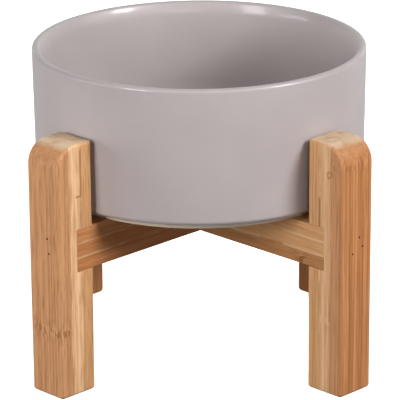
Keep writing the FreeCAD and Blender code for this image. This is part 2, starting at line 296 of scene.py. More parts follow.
def carry_across(corners, radii, easing, grain_axis):
    """Points, faces, end grain and eased edges of a board with the given side outline.

    At an angle t from 0 to 90 degrees, the outline is 1 - cos(t) of the way to the inset outline, and
    half the width is less than the full one by the edge's radius times 1 - sin(t).
    """
    corners, radii, easing = (np.array(values, float) for values in (corners, radii, easing))
    inner_corners, corner_easing = inset_corners(corners, easing)
    outer = rounded(corners, radii)
    inner = rounded(inner_corners, np.maximum(radii - corner_easing, LEAST_RADIUS))
    kept = apart_from_next(outer)
    outer, inner = outer[kept], inner[kept]
    edge_radius = np.repeat(corner_easing, ARC_STEPS)[kept]

    quarter = np.linspace(0, math.pi / 2, EDGE_STEPS)
    angles = np.concatenate([quarter[::-1], quarter])[:, None]
    side = np.repeat([-1, 1], EDGE_STEPS)[:, None]
    plane = outer + (1 - np.cos(angles))[..., None] * (inner - outer)
    width = side * (HALF_WIDTH - edge_radius * (1 - np.sin(angles)))
    points = np.stack([plane[..., 0], width, plane[..., 1]], axis=-1)

    here = np.arange(width.size).reshape(width.shape)
    beside = np.roll(here, -1, axis=1)
    quads = np.stack([here[:-1], here[1:], beside[1:], beside[:-1]], axis=-1).reshape(-1, 4)
    caps = np.stack([here[0], here[-1, ::-1]])
    end_grain = np.abs(unit(inner - outer)[:, grain_axis]) * np.cos(angles)
    eased = np.broadcast_to(np.sin(2 * angles), width.shape)
    return points.reshape(-1, 3), [quads, caps], end_grain.ravel(), eased.ravel()


# %% [markdown]
# ## Legs
# Each leg is three bamboo layers glued face to face, with the layers one behind the other on the way out
# from the bowl. The top is rounded over towards the outside and a housing is cut in the inner face for
# the crossbar. The grain attribute holds, for each point, how deep it lies behind the outer face, how far
# it is across the leg and how high it is along the fibres, so that one finish suits a leg in any
# direction.

# %% Shape the legs
CROWN_ROUNDING, LEG_EASING, LEG_ARRIS, TOE_ROUNDING = 10.5 * MM, 1.5 * MM, 0.8 * MM, 1.8 * MM
CUT_ARRIS = 0.2 * MM
notch_start = LEG_INNER + LEG_ARRIS + CUT_ARRIS
leg_outline = (
    [(LEG_INNER, LEG_BOTTOM), (LEG_OUTER, LEG_BOTTOM), (LEG_OUTER, LEG_TOP), (LEG_INNER, LEG_TOP),
     (LEG_INNER, SEAT), (notch_start, SEAT), (BAR_END, SEAT),
     (BAR_END, BAR_BOTTOM), (notch_start, BAR_BOTTOM), (LEG_INNER, BAR_BOTTOM)],
    [TOE_ROUNDING, TOE_ROUNDING, CROWN_ROUNDING, LEG_ARRIS] + 6 * [CUT_ARRIS],
    [TOE_ROUNDING, LEG_EASING, LEG_EASING, LEG_ARRIS] + 5 * [CUT_ARRIS] + [LEG_ARRIS],
)
leg_points, leg_faces, leg_end_grain, leg_eased = carry_across(*leg_outline, grain_axis=1)
leg_grain = leg_points * (-1, 1, 1) + (LEG_OUTER, 0, -LEG_BOTTOM)
legs = {
    end: add_piece(f"leg_{end}", turned_about_z(leg_points, LEG_ANGLES[end]), leg_faces,
                   grain=leg_grain, end_grain=leg_end_grain, eased=leg_eased)
    for end in ENDS
}

# %% [markdown]
# ## Crossbars
# The crossbars are the same stock laid flat, so their three layers lie on top of each other. They cross
# in a halved lap: the lower bar has a slot open upwards and the upper bar the same slot open downwards.
# Their edges are eased between the legs and left square where the ends are housed. The upper bar is the
# lower one's outline turned over, which also turns its direction round, so its corners are taken in
# reverse.

# %% Shape the crossbars
BAR_ARRIS, LAP_CLEARANCE = 0.8 * MM, 0.2 * MM
LAP_HALF_WIDTH = HALF_WIDTH + LAP_CLEARANCE
LAP_LEVEL = (BAR_BOTTOM + SEAT) / 2
shoulder = LEG_INNER
housed = shoulder + BAR_ARRIS


def bar_outline(slot_side, plain_side):
    """A crossbar's corners, corner radii and edge easings, with the lap slot open at slot_side."""
    corners = [(-BAR_END, plain_side), (-housed, plain_side), (-shoulder, plain_side),
               (shoulder, plain_side), (housed, plain_side), (BAR_END, plain_side),
               (BAR_END, slot_side), (housed, slot_side), (shoulder, slot_side),
               (LAP_HALF_WIDTH, slot_side), (LAP_HALF_WIDTH, LAP_LEVEL),
               (-LAP_HALF_WIDTH, LAP_LEVEL), (-LAP_HALF_WIDTH, slot_side),
               (-shoulder, slot_side), (-housed, slot_side), (-BAR_END, slot_side)]
    easing = [CUT_ARRIS, BAR_ARRIS, BAR_ARRIS, CUT_ARRIS, CUT_ARRIS, CUT_ARRIS,
              CUT_ARRIS, BAR_ARRIS, BAR_ARRIS, CUT_ARRIS, CUT_ARRIS, CUT_ARRIS,
              BAR_ARRIS, CUT_ARRIS, CUT_ARRIS, CUT_ARRIS]
    return corners, len(corners) * [CUT_ARRIS], easing


def turned_over(corners, radii, easing):
    """The same outline mirrored in height, with its corners in reverse, which keeps its direction."""
    mirrored = [(along, BAR_BOTTOM + SEAT - height) for along, height in corners]
    return mirrored[::-1], radii[::-1], easing[-2::-1] + easing[-1:]


bars = {}
lower_outline = bar_outline(slot_side=SEAT, plain_side=BAR_BOTTOM)
for node, outline in (("lower_crossbar", lower_outline), ("upper_crossbar", turned_over(*lower_outline))):
    points, faces, end_grain, eased = carry_across(*outline, grain_axis=0)
    grain = points[:, ::-1] * (-1, 1, 1) + (SEAT, 0, 0)
    bars[node] = add_piece(node, turned_about_z(points, BAR_ANGLES[node]), faces,
                           grain=grain, end_grain=end_grain, eased=eased)

# %% [markdown]
# ## Brads
# Thin nails with hardly any head, driven through each leg into the end of the bar, hold a frame together.
# Only their blunt ends show, as dark dots: the legs have no holes, so the shade in a nail hole is painted
# on as the wire's near-black. Each is a slim turned profile laid along the leg's own X, and a group of them
# is one array: the same points, moved to each place.

# %% Turn the brads
BRAD_RADIUS, BRAD_LENGTH, BRAD_POINT = 0.6 * MM, 25 * MM, 2 * MM
BRAD_HEAD_ROUNDING, BRAD_TIP_RADIUS, BRAD_PROUD = 0.2 * MM, 0.15 * MM, 0.05 * MM
BRAD_SEGMENTS = 24
# A brad's place is a share of the leg's width, from its middle, and a share of the bar's height.
TWO_BRADS = ((0.11, 0.83), (0.16, 0.49))
THREE_BRADS = ((0.08, 0.77), (0.18, 0.54), (-0.14, 0.43))
BRAD_SHARES = {"front_left": TWO_BRADS, "back_right": TWO_BRADS,
               "front_right": THREE_BRADS, "back_left": THREE_BRADS}

brad_profile = rounded_profile(
    [(0, -BRAD_LENGTH), (BRAD_TIP_RADIUS, -BRAD_LENGTH), (BRAD_RADIUS, BRAD_POINT - BRAD_LENGTH),
     (BRAD_RADIUS, BRAD_PROUD), (0, BRAD_PROUD)],
    [0, LEAST_RADIUS, LEAST_RADIUS, BRAD_HEAD_ROUNDING, 0])
brad_points, brad_faces = turn_profile(brad_profile, BRAD_SEGMENTS)
brads = {}
for end, shares in BRAD_SHARES.items():
    places = np.array([(LEG_OUTER, 2 * HALF_WIDTH * sideways, BAR_BOTTOM + (SEAT - BAR_BOTTOM) * upwards)
                       for sideways, upwards in shares])
    points = (brad_points[:, [2, 0, 1]] + places[:, None]).reshape(-1, 3)
    first_point = len(brad_points) * np.arange(len(places))[:, None, None]
    faces = [(block + first_point).reshape(-1, block.shape[1]) for block in brad_faces]
    brads[end] = add_piece(f"brads_{end}", turned_about_z(points, LEG_ANGLES[end]), faces)

# %% [markdown]
# ## Foot pads
# A thin soft disc under each leg keeps the stand from sliding. It is a turned profile with a small round
# on its lower edge, moved under the leg's middle.

# %% Turn the foot pads
PAD_ROUNDING = 0.3 * MM
PAD_SEGMENTS = 48
pads = {}
for end in ENDS:
    low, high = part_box(f"pad_{end}")
    radius, middle = (high.x - low.x) / 2, (low + high) / 2
    profile = rounded_profile([(0, low.z), (radius, low.z), (radius, high.z), (0, high.z)],
                              [0, PAD_ROUNDING, LEAST_RADIUS, 0])
    points, faces = turn_profile(profile, PAD_SEGMENTS)
    pads[end] = add_piece(f"pad_{end}", points + np.array((middle.x, middle.y, 0)), faces)

# %% [markdown]
# ## Sockets to calculate with
# The finishes are built from nodes in code. A node has sockets, and each socket takes either a plain
# value or a link from another node. Here, what a socket gives can be added and multiplied like a number,
# and each sign adds one math node to the tree that the socket is in. So a finish reads as a formula.

# %% Values and nodes


class Value:
    """What a socket gives. Arithmetic on it adds math nodes to the socket's tree."""

    def __init__(self, socket):
        self.socket = socket

    def __add__(self, other):
        return calc("ADD", self, other)

    def __sub__(self, other):
        return calc("SUBTRACT", self, other)

    def __rsub__(self, other):
        return calc("SUBTRACT", other, self)

    def __mul__(self, other):
        return calc("MULTIPLY", self, other)

    def __rtruediv__(self, other):
        return calc("DIVIDE", other, self)


def feed(sockets, sources):
    """Give sockets, by label or number, a link from a value or else a plain number, vector or colour."""
    for label, source in sources.items():
        if isinstance(source, Value):
            source.socket.id_data.links.new(source.socket, sockets[label])
        else:
            sockets[label].default_value = source


def add_node(kind, sources, **settings):
    """A node in the tree that its sources come from, with its settings made and its sockets fed."""
    tree = next(source.socket.id_data for source in sources.values() if isinstance(source, Value))
    node = tree.nodes.new(kind)
    for name, value in settings.items():
        setattr(node, name, value)
    feed(node.inputs, sources)
    return node


# %% [markdown]
# ## Short calls for shader nodes
# A few kinds of node do nearly all the work: a sum, a soft step, a noise, a mix of two colours. Each gets
# a short call. A thin line needs no picture either: it is where some value passes through zero.

# %% Calls for the kinds of node
MIX_FACTOR, MIX_FIRST, MIX_SECOND, MIX_RESULT = 0, 6, 7, 2
LINE_SOFTNESS = 3


def calc(operation, first, second=0.0):
    """One step of arithmetic on two values."""
    return Value(add_node("ShaderNodeMath", {0: first, 1: second}, operation=operation).outputs[0])


def above_zero(value):
    """1 where a value is more than 0, and 0 elsewhere."""
    return calc("GREATER_THAN", value)


def ramp(value, low, high):
    """0 below low, 1 above high, and a smooth step between them."""
    sources = {"Value": value, "From Min": low, "From Max": high}
    return Value(add_node("ShaderNodeMapRange", sources, interpolation_type="SMOOTHSTEP").outputs["Result"])


def line(value, width):
    """1 where a value is near 0, fading out at the given width to each side."""
    return 1.0 - ramp(calc("ABSOLUTE", value), width / LINE_SOFTNESS, width)


def vector(x, y, z):
    """One vector from three values."""
    return Value(add_node("ShaderNodeCombineXYZ", {0: x, 1: y, 2: z}).outputs[0])


def components(place):
    """The three values of a vector."""
    return [Value(socket) for socket in add_node("ShaderNodeSeparateXYZ", {0: place}).outputs]


def noise(place, scale, detail=2.0):
    """A smooth random value, about 0.5 on average, that changes scale times over each unit of length."""
    sources = {"Vector": place, "Scale": scale, "Detail": detail}
    return Value(add_node("ShaderNodeTexNoise", sources).outputs[0])


def spots(place, scale, core, edge):
    """1 in the middle of scattered cells, fading out between two distances from there."""
    cells = add_node("ShaderNodeTexVoronoi", {"Vector": place, "Scale": scale})
    return 1.0 - ramp(Value(cells.outputs["Distance"]), core, edge)


def mix(factor, first, second, blend="MIX"):
    """A colour between two colours."""
    sources = {MIX_FACTOR: factor, MIX_FIRST: first, MIX_SECOND: second}
    node = add_node("ShaderNodeMix", sources, data_type="RGBA", blend_type=blend)
    return Value(node.outputs[MIX_RESULT])


# %% [markdown]
# ## Groups from functions
# An effect that several finishes share is a node group with named sockets. It is written as a function of
# values: the parameters and their defaults become the group's inputs, and what it returns the outputs.

# %% Make and use a group
INPUT_KINDS = {1: "NodeSocketFloat", 3: "NodeSocketVector", 4: "NodeSocketColor"}
OUTPUT_KINDS = {"VALUE": "NodeSocketFloat", "RGBA": "NodeSocketColor"}
ORIGIN, WHITE, BLACK = (0.0, 0.0, 0.0), (1.0, 1.0, 1.0, 1.0), (0.0, 0.0, 0.0, 1.0)


def labelled(values):
    """The same values under socket labels: cloud_size is labelled Cloud size."""
    return {word.capitalize().replace("_", " "): value for word, value in values.items()}


def make_group(effect):
    """A node group from a function. The length of an input's default tells its kind."""
    group = bpy.data.node_groups.new(effect.__name__.replace("_", " "), "ShaderNodeTree")
    words = inspect.signature(effect).parameters
    for label, parameter in labelled(words).items():
        kind = INPUT_KINDS[np.size(parameter.default)]
        socket = group.interface.new_socket(label, in_out="INPUT", socket_type=kind)
        socket.default_value = parameter.default
    given = group.nodes.new("NodeGroupInput").outputs
    results = labelled(effect(**{word: Value(socket) for word, socket in zip(words, given)}))
    for label, value in results.items():
        group.interface.new_socket(label, in_out="OUTPUT", socket_type=OUTPUT_KINDS[value.socket.type])
    feed(group.nodes.new("NodeGroupOutput").inputs, results)
    print("group:", group.name, "with", len(group.nodes), "nodes")
    return group


def use_group(group, **sources):
    """A group placed in the tree that its sources come from: what it gives, under the function's words."""
    node = add_node("ShaderNodeGroup", labelled(sources), node_tree=group)
    return SimpleNamespace(**{socket.name.lower(): Value(socket) for socket in node.outputs})


# %% [markdown]
# ## Shared effects
# Two effects turn up in more than one finish. "Unevenness" is what no real surface is without: slow
# changes of tone over centimetres, a fine tooth, and a few small pits. The edge effect lightens the eased
# edges: on the wood where sandpaper has taken the most off, and on the bowl's rim, partly thin glaze and
# partly a painted highlight.

# %% Unevenness, and paler edges from wear, thin glaze and a painted highlight
PER_MM = 1 / MM
NOISE_LOW, NOISE_MIDDLE, NOISE_HIGH = 0.3, 0.5, 0.7
CLOUD_DETAIL = 3.0
PIT_SPACING, PIT_LIMITS = 6, (0.04, 0.12)
WEAR_SCALE, LEAST_WEAR = 0.25, 0.5


def unevenness(place=ORIGIN, cloud_size=20.0, tooth_size=0.5):
    """Noise of two sizes, in millimetres, and pits that lie about six tooth sizes apart."""
    return dict(clouds=noise(place, PER_MM / cloud_size, CLOUD_DETAIL),
                tooth=noise(place, PER_MM / tooth_size),
                pits=spots(place, PER_MM / PIT_SPACING / tooth_size, *PIT_LIMITS))


def worn_edge(color=WHITE, worn_color=WHITE, place=ORIGIN, edge=0.0, amount=0.5):
    """The lighter colour by edge times amount, with at least half of that in every patch: wear on wood,
    thin glaze and a painted highlight on the rim.
    """
    patchy = ramp(noise(place, WEAR_SCALE * PER_MM), NOISE_LOW, NOISE_HIGH)
    strength = edge * amount * (patchy * (1 - LEAST_WEAR) + LEAST_WEAR)
    return dict(color=mix(strength, color, worn_color))


UNEVENNESS = make_group(unevenness)
WORN_EDGE = make_group(worn_edge)

# %% [markdown]
# ## Bamboo layers
# The stock is three layers glued face to face, each from another cane, so the tone changes at the glue
# lines. How deep a point lies behind the outer face picks the layer, and on the outer face itself the
# cane's dense skin may be redder than the flesh behind it. A glue line wanders a little and fibres of one
# layer run into the next, so the edge is frayed. A stretch of the line may have opened to a dark seam,
# and the middle layer may be pieced together end to end. The group works on the grain attribute, in
# millimetres, so it follows the wood and not the shape.

# %% Layers, glue lines and joints
# In the bamboo groups, noise scales are per millimetre, and widths, reaches and shifts in millimetres.
WANDER_SCALE, WANDER_ACROSS = 0.04, 0.3
FRAY_SCALE, FRAY_WIDTH, FRAY_STRETCH = 1.2, 3.4, 0.03
SKIN_LIMITS, LAYER_LIMITS, SEAM_LIMITS = (0.6, 2.2), (-0.8, 0.8), (-1.0, 1.0)
PIECED_SHARE, PIECED_CANE = 0.45, 0.5
JOINT_WIDTH, GLUE_WIDTH, SEAM_WIDTH = 0.75, 0.75, 0.8
GLUE_SCALE, GLUE_LIMITS, GLUE_SHIFT = 0.07, (0.4, 0.62), 9.0


def bamboo_layers(grain=ORIGIN, seed=0.0, layer=7.0, butt_joint=0.0, open_seam=0.0, seam_reach=0.0):
    """Soft masks of the skin and the layers, the number of the cane, and the glue lines and gaps.

    A layer starts where the depth, plus a slow wander, passes once or twice the layer's thickness.
    """
    depth, across, along = components(grain)
    wander = noise(vector(seed, across * WANDER_ACROSS, along), WANDER_SCALE) - NOISE_MIDDLE
    past_first = depth + wander - layer
    past_second = past_first - layer
    second, third = above_zero(past_first), above_zero(past_second)
    strand = vector(across + seed, depth, along * FRAY_STRETCH)
    fray = (noise(strand, FRAY_SCALE) - NOISE_MIDDLE) * FRAY_WIDTH

    in_pieced_share = above_zero(past_second + layer * PIECED_SHARE) * (1.0 - third)
    past_joint = along - butt_joint
    pieced = in_pieced_share * above_zero(past_joint)
    joint = in_pieced_share * line(past_joint, JOINT_WIDTH)
    past_seam = calc("ABSOLUTE", along - open_seam) - seam_reach
    seam = (1.0 - ramp(past_seam, *SEAM_LIMITS)) * line(past_second, SEAM_WIDTH)
    patchy = ramp(noise(vector(seed, second * GLUE_SHIFT, along), GLUE_SCALE), *GLUE_LIMITS)
    glue = calc("MAXIMUM", line(past_first, GLUE_WIDTH), line(past_second, GLUE_WIDTH))
    return dict(flesh=ramp(depth + fray, *SKIN_LIMITS),
                second=ramp(past_first + fray, *LAYER_LIMITS),
                third=ramp(past_second + fray, *LAYER_LIMITS),
                cane=second + third + pieced * PIECED_CANE,
                glue=glue * patchy,
                gap=calc("MAXIMUM", joint, seam))


LAYERS = make_group(bamboo_layers)

# %% [markdown]
# ## Bamboo fibres
# Bamboo has no year rings: its wood is a bundle of straight fibres. Long bands differ in tone, thin dark
# lines run the whole length, and short dashes, dark or pale, show where a bundle of fibres comes to the
# surface. All are noise, stretched along the grain by a different amount each. A line is where a noise
# passes through its middle value.

# %% Bands, lines and dashes
BAND_STRETCH, BAND_SCALE, BAND_DETAIL = 0.006, 0.5, 1.0
FIBRE_STRETCH, FIBRE_SCALE, FIBRE_DETAIL = 0.03, 1.4, 2.0
STRAND_STRETCH, STRAND_SCALE, STRAND_DETAIL = 0.006, 0.45, 0.0
DASH_STRETCH, DASH_SCALE, DASH_DETAIL = 0.08, 0.95, 1.0
BAND_SHARE, SHADE_LIMITS, STRAND_WIDTH = 0.5, (0.32, 0.68), 0.07
DASH_LIMITS, FLECK_LIMITS = (0.54, 0.68), (0.56, 0.7)


def bamboo_fibres(place=ORIGIN):
    """A shade from bands and fibres, and masks of long lines, dark dashes and pale flecks."""
    sideways, inwards, along = components(place)

    def stretched(stretch, scale, detail):
        return noise(vector(sideways, inwards, along * stretch), scale, detail)

    bands = stretched(BAND_STRETCH, BAND_SCALE, BAND_DETAIL)
    fibres = stretched(FIBRE_STRETCH, FIBRE_SCALE, FIBRE_DETAIL)
    strands = stretched(STRAND_STRETCH, STRAND_SCALE, STRAND_DETAIL)
    dashes = stretched(DASH_STRETCH, DASH_SCALE, DASH_DETAIL)
    return dict(shade=ramp(bands * BAND_SHARE + fibres * (1 - BAND_SHARE), *SHADE_LIMITS),
                lines=line(strands - NOISE_MIDDLE, STRAND_WIDTH),
                dashes=ramp(dashes, *DASH_LIMITS),
                flecks=ramp(1.0 - dashes, *FLECK_LIMITS))


FIBRES = make_group(bamboo_fibres)

# %% [markdown]
# ## Bamboo knuckles
# Every 20 cm or so, a knuckle crosses the cane. In a sawn layer it shows as an uneven row of short dark
# strokes with paler wood between them, and fainter strokes spread above and below it. A side shoot leaves
# a bud: a small ring.

# %% Knuckles and buds
WAVE_SCALE, WAVE_HEIGHT = 0.25, 3.0
ROW_REACH, SPREAD_REACH, SPREAD_SHARE = 2.8, 9.0, 0.4
STROKE_STRETCH, STROKE_SCALE, STROKE_DETAIL, STROKE_LIMITS = 0.28, 0.75, 1.0, (0.47, 0.57)
BUD_RADIUS, BUD_LINE, BUD_STRENGTH = 1.4, 0.8, 0.65
BUD_SCALE, BUD_UNEVENNESS = 0.45, 2.0


def bamboo_knuckles(place=ORIGIN, grain=ORIGIN, knuckle=0.0, strength=0.0, bud=ORIGIN):
    """Masks of the dark strokes near a knuckle's height or on a ring round a bud, and of the pale wood."""
    sideways, inwards, along = components(place)
    wave = noise(vector(sideways, inwards, 0.0), WAVE_SCALE) - NOISE_MIDDLE
    height = along - knuckle + wave * WAVE_HEIGHT
    row = line(height, ROW_REACH)
    spread = line(height, SPREAD_REACH) * SPREAD_SHARE
    stroke_place = vector(sideways, inwards, along * STROKE_STRETCH)
    dark = ramp(noise(stroke_place, STROKE_SCALE, STROKE_DETAIL), *STROKE_LIMITS)

    from_bud = add_node("ShaderNodeVectorMath", {0: grain, 1: bud}, operation="DISTANCE")
    uneven = (noise(grain, BUD_SCALE) - NOISE_MIDDLE) * BUD_UNEVENNESS
    ring = line(Value(from_bud.outputs["Value"]) - BUD_RADIUS + uneven, BUD_LINE)
    strokes = dark * strength * calc("MAXIMUM", row, spread)
    return dict(strokes=calc("MAXIMUM", strokes, ring * BUD_STRENGTH), swelling=row * (1.0 - dark))


KNUCKLES = make_group(bamboo_knuckles)

# %% [markdown]
# ## Bamboo
# One group puts the layers, fibres and knuckles together and turns them into colour, roughness and
# relief. Each cane has its own fibres: its number shifts the place where the noise is read. On cut ends
# the fibres point at the viewer, and the streaks give way to a paler field of dots, greyed to paint the
# sheen that the tops show.

# %% The bamboo group
CANE_SHIFT = 37.0
DARKER, PALER = (0.74, 0.66, 0.57, 1.0), (1.14, 1.17, 1.22, 1.0)
# The grey cast of cut ends is partly the end grain's own paler tone and partly a painted sheen.
STROKE, CUT = (0.5, 0.38, 0.28, 1.0), (1.0, 1.12, 1.35, 1.0)
MIDDLE_SHADE, SLANT_FADE, LINE_FADE, SWELLING_SHARE = 0.5, 0.75, 0.7, 0.5
GLUE_STRENGTH, GAP_STRENGTH = 0.4, 0.85
END_TONE, END_SHARE, END_LIMITS = (0.67, 0.52, 0.365, 1.0), 0.6, (0.76, 0.92)
DOT_SCALE, DOT_LIMITS, DOT_STRENGTH = 1.1, (0.12, 0.4), 0.15
STAIN_SCALE, STAIN_DETAIL, STAIN_LIMITS, STAIN_STRENGTH = 0.14, 1.0, (0.4, 0.75), 0.35
WOOD_ROUGHNESS, PALE_SMOOTHING, END_ROUGHENING = 0.56, 0.12, 0.12
SHADE_RELIEF, MARK_RELIEF = 0.5, 0.6


def bamboo(grain=ORIGIN, end_grain=0.0, seed=0.0, layer=7.0, skin_tone=WHITE, outer_tone=WHITE,
           middle_tone=WHITE, inner_tone=WHITE, glue_tone=BLACK, outer_knuckle=0.0, middle_knuckle=0.0,
           inner_knuckle=0.0, bud=ORIGIN, knuckle_strength=0.7, butt_joint=0.0, open_seam=0.0,
           seam_reach=7.5, contrast=1.0, lines=0.3, dashes=0.3):
    """The wood's colour is the layer's tone times factors for shade, marks, flecks, gaps and cut ends."""
    scaled = add_node("ShaderNodeVectorMath", {0: grain, "Scale": PER_MM}, operation="SCALE")
    grain = Value(scaled.outputs[0])
    layers = use_group(LAYERS, grain=grain, seed=seed, layer=layer,
                       butt_joint=butt_joint, open_seam=open_seam, seam_reach=seam_reach)

    def of_layer(outer, middle, inner):
        return mix(layers.third, mix(layers.second, outer, middle), inner)

    tone = of_layer(mix(layers.flesh, skin_tone, outer_tone), middle_tone, inner_tone)
    darker, paler, stroke, cut = (mix(1.0, tone, factors, "MULTIPLY")
                                  for factors in (DARKER, PALER, STROKE, CUT))
    depth, across, along = components(grain)
    shift = layers.cane * CANE_SHIFT + seed
    sideways, inwards = across + shift, depth + shift
    place = vector(sideways, inwards, along)
    fibres = use_group(FIBRES, place=place)
    knuckles = use_group(KNUCKLES, place=place, grain=grain, strength=knuckle_strength, bud=bud,
                         knuckle=of_layer(outer_knuckle, middle_knuckle, inner_knuckle))

    slant = 1.0 - end_grain * SLANT_FADE
    shade = (fibres.shade - MIDDLE_SHADE) * contrast * slant + MIDDLE_SHADE
    line_strength = lines * (1.0 - layers.flesh * LINE_FADE)
    marks = calc("MAXIMUM", fibres.lines * line_strength, fibres.dashes * dashes)
    color = mix(shade, darker, paler)
    color = mix(fibres.flecks * dashes + knuckles.swelling * SWELLING_SHARE, color, paler)
    color = mix(marks * slant, color, stroke)
    color = mix(knuckles.strokes, color, stroke)
    # On the crossbars this pale line is partly glue and partly a painted highlight on the layers' edges.
    color = mix(layers.glue * GLUE_STRENGTH, color, glue_tone)
    color = mix(layers.gap * GAP_STRENGTH, color, stroke)

    on_end = vector(sideways, inwards, 0.0)
    dots = spots(on_end, DOT_SCALE, *DOT_LIMITS)
    stain = ramp(noise(on_end, STAIN_SCALE, STAIN_DETAIL), *STAIN_LIMITS)
    # The end colour's grey is partly painted sheen.
    end_color = mix(dots * DOT_STRENGTH + stain * STAIN_STRENGTH, mix(END_SHARE, cut, END_TONE), stroke)
    is_cut = ramp(end_grain, *END_LIMITS)
    return dict(color=mix(is_cut, color, end_color),
                roughness=WOOD_ROUGHNESS - fibres.shade * PALE_SMOOTHING + is_cut * END_ROUGHENING,
                height=fibres.shade * SHADE_RELIEF - marks * MARK_RELIEF - layers.gap)


BAMBOO = make_group(bamboo)

# %% [markdown]
# ## Materials
# A material holds the shader itself. The groups give it what changes over the surface, and everything
# that is the same all over, such as the clear coat's weight, is set on the shader.

# %% A material around a shader


def new_material(name):
    """An empty material with a Principled shader: the material, its tree and the shader's sockets."""
    material = bpy.data.materials.new(name)
    material.use_nodes = True
    tree = material.node_tree
    tree.nodes.clear()
    shader = tree.nodes.new("ShaderNodeBsdfPrincipled")
    output = tree.nodes.new("ShaderNodeOutputMaterial")
    tree.links.new(shader.outputs[0], output.inputs["Surface"])
    return material, tree, shader.inputs


def attribute(tree, label, kind="Fac"):
    """What a piece's points hold under a label."""
    node = tree.nodes.new("ShaderNodeAttribute")
    node.attribute_name = label
    return Value(node.outputs[kind])


def object_place(tree):
    """The place of a point in its piece, in metres."""
    return Value(tree.nodes.new("ShaderNodeTexCoord").outputs["Object"])


def bump(height, depth, strength=1.0):
    """A bumped normal. The depth is the real height of the relief, in metres."""
    sources = {"Height": height, "Distance": depth, "Strength": strength}
    return Value(add_node("ShaderNodeBump", sources).outputs[0])


def paint(piece, material):
    """Give a piece one material all over."""
    piece.data.materials.clear()
    piece.data.materials.append(material)


# %% [markdown]
# ## The glaze
# A satin glaze in a warm grey, a touch paler on the rim, partly where it runs thin and partly as a painted
# highlight. Slow clouds of tone and a fine tooth keep it from looking like plastic. The foot ring is wiped
# clean before firing and stays bare clay, so the finish changes there by height.

# %% Glaze the bowl
GLAZE_DEEP, GLAZE_PALE = (0.44, 0.388, 0.388, 1.0), (0.468, 0.415, 0.417, 1.0)
# The rim colour is partly thin glaze and partly a painted highlight.
GLAZE_THIN, BARE_CLAY = (0.60, 0.57, 0.55, 1.0), (0.66, 0.56, 0.44, 1.0)
GLAZE_LIMITS, GLAZE_WOBBLE = (heel - 0.5 * MM, heel - 0.1 * MM), 0.4 * MM
GLAZE_ROUGHNESS, TOOTH_ROUGHENING, CLAY_ROUGHENING = 0.4, 0.1, 0.4
GLAZE_RELIEF, PIT_SHARE = 0.02 * MM, 0.6


def glaze_material():
    """Glaze above the foot ring, bare clay below, with clouds of tone and a paler rim: thin glaze and a
    painted highlight.
    """
    material, tree, shader = new_material("satin_glaze")
    place = object_place(tree)
    uneven = use_group(UNEVENNESS, place=place, cloud_size=35.0, tooth_size=0.45)
    color = mix(ramp(uneven.clouds, NOISE_LOW, NOISE_HIGH), GLAZE_DEEP, GLAZE_PALE)
    # Paler rim: thin glaze, with a painted highlight in the same colour.
    color = use_group(WORN_EDGE, color=color, worn_color=GLAZE_THIN, place=place,
                      edge=attribute(tree, "eased"), amount=0.12).color
    _, _, height = components(place)
    glazed = ramp(height + uneven.clouds * GLAZE_WOBBLE, *GLAZE_LIMITS)
    roughness = uneven.tooth * TOOTH_ROUGHENING + GLAZE_ROUGHNESS + (1.0 - glazed) * CLAY_ROUGHENING
    relief = uneven.tooth - uneven.pits * PIT_SHARE
    feed(shader, {"Base Color": mix(glazed, BARE_CLAY, color), "Roughness": roughness,
                  "Normal": bump(relief, GLAZE_RELIEF, strength=0.5), "Specular IOR Level": 0.4,
                  "Coat Weight": 0.4, "Coat Roughness": 0.14})
    return material


paint(bowl, glaze_material())
print("glazed", bowl.name)

# %% [markdown]
# ## Dress the stand
# Each leg and bar is its own piece of stock, so each gets its own tones, its own seed for the fibres and
# its own knuckles, on one shared group. Heights of knuckles and joints are in millimetres along the
# grain, and a value far outside the piece leaves one out.

# %% Dress the legs and crossbars in bamboo
PALE, STRAW, TAN = (0.86, 0.535, 0.293, 1.0), (0.66, 0.36, 0.168, 1.0), (0.615, 0.311, 0.149, 1.0)
# UMBER is darkened past the wood's own tone to paint the shade under the bowl on the back right leg.
AMBER, RUSSET, UMBER = (0.545, 0.241, 0.096, 1.0), (0.545, 0.23, 0.09, 1.0), (0.34, 0.14, 0.05, 1.0)
FLESH, HONEY, SIENNA = (0.55, 0.268, 0.127, 1.0), (0.74, 0.445, 0.245, 1.0), (0.45, 0.21, 0.085, 1.0)
# On the crossbars, the pale glue line also paints the highlight on the edge where one layer steps past the
# next.
DARK_GLUE, PALE_GLUE = (0.30, 0.14, 0.06, 1.0), (0.86, 0.62, 0.38, 1.0)
SANDED = (0.78, 0.53, 0.29, 1.0)
BAMBOO_RELIEF = 0.05 * MM
LAYER_COUNT = 3
NOWHERE = -500.0
UNMARKED = dict(outer_knuckle=NOWHERE, middle_knuckle=NOWHERE, inner_knuckle=NOWHERE,
                bud=(NOWHERE, NOWHERE, NOWHERE), butt_joint=NOWHERE, open_seam=NOWHERE)
LEG_STOCK = dict(UNMARKED, layer=(LEG_OUTER - LEG_INNER) / LAYER_COUNT / MM, glue_tone=DARK_GLUE)
BAR_STOCK = dict(UNMARKED, layer=(SEAT - BAR_BOTTOM) / LAYER_COUNT / MM, glue_tone=PALE_GLUE)
